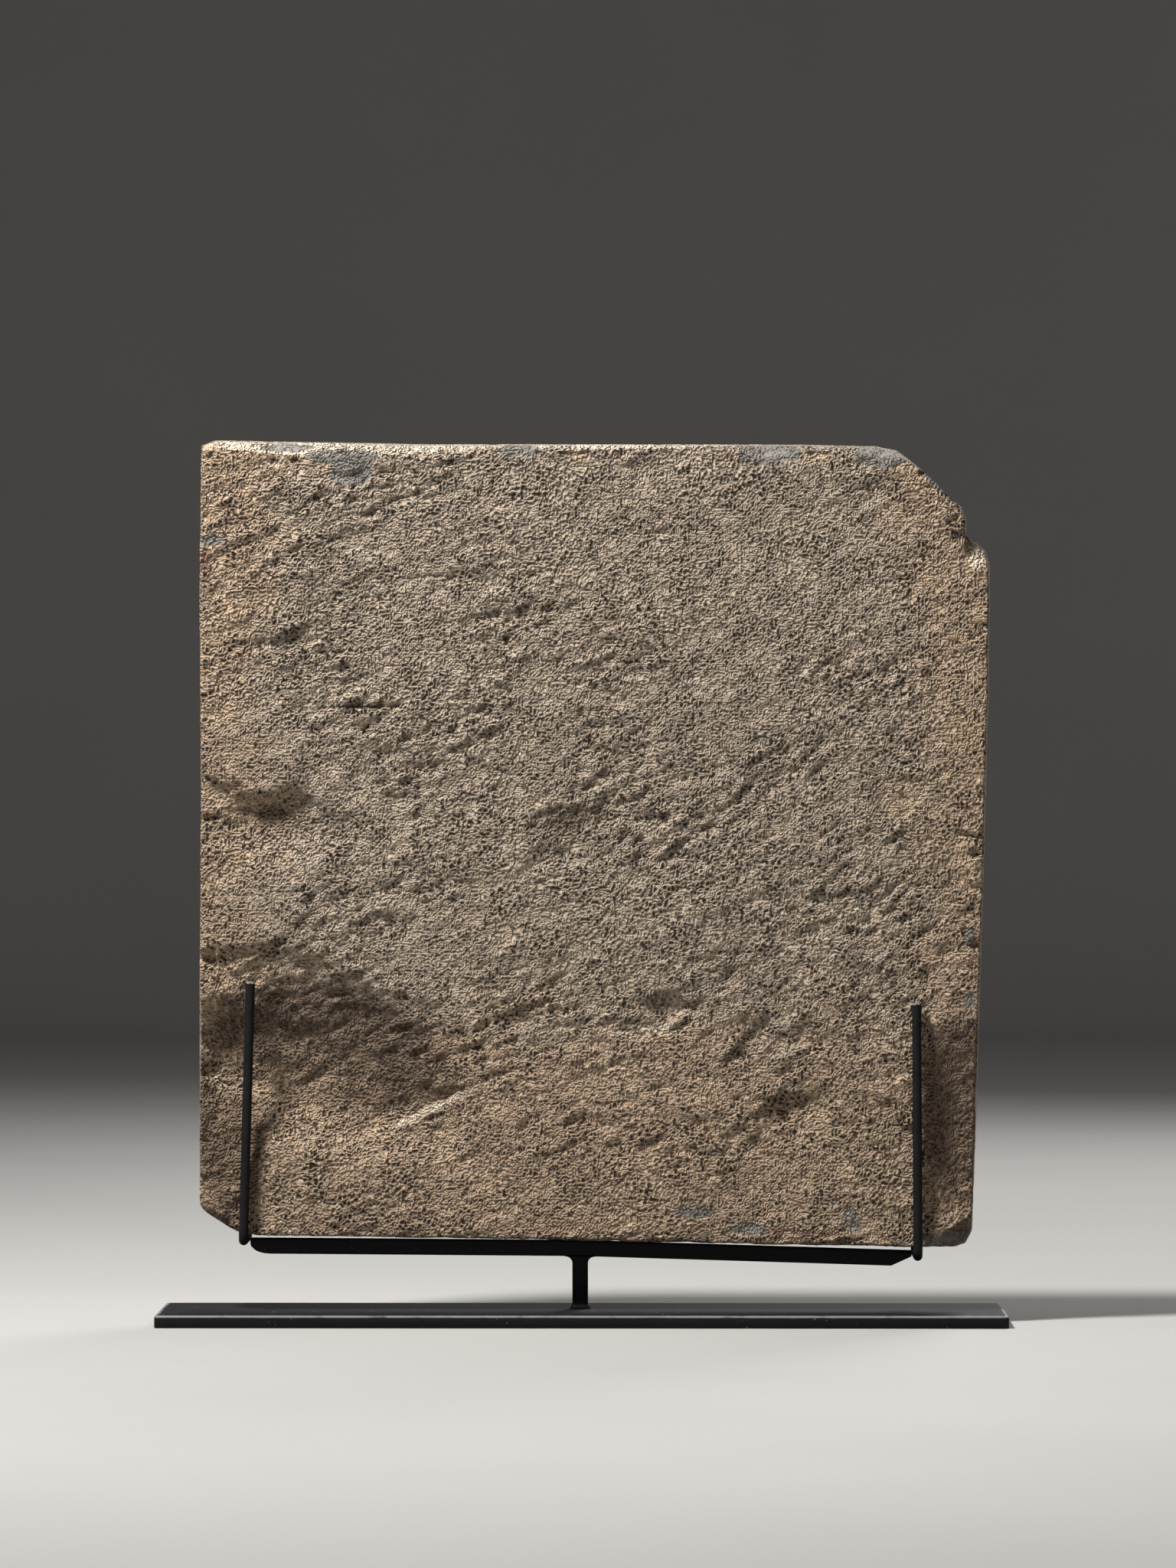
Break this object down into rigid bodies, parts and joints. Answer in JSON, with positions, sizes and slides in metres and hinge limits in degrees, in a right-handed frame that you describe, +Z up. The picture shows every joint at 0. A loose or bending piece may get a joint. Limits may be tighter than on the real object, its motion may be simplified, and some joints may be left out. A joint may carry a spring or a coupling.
{
  "type": "stone panel on a display stand",
  "caption": "Squarish slab of weathered stone with a rough-split back and broken corners, standing upright in a black steel cradle with prongs, a short post and a long flat base plate.",
  "frame": {"origin": "middle of the base plate's underside, on the surface that the stand rests on", "axes": "+Z up; +X along the base plate, to the right when facing the panel's rough back; +Y from the rough back to the dressed face"},
  "size_m": [0.54, 0.13, 0.5639],
  "materials": {
    "stone": "rough grey-blue stone under a tan, granular burial crust, stained red and ochre, bare along the chips",
    "black_steel": "satin black, edges rubbed, a little dust on top",
    "black_rod": "satin black round rod with bright cut tips"
  },
  "bodies": {
    "root": {"stone_panel": "stone", "base_plate": "black_steel", "post": "black_steel", "cross_bar": "black_steel", "arm_left": "black_rod", "arm_right": "black_rod"}
  },
  "joints": []
}
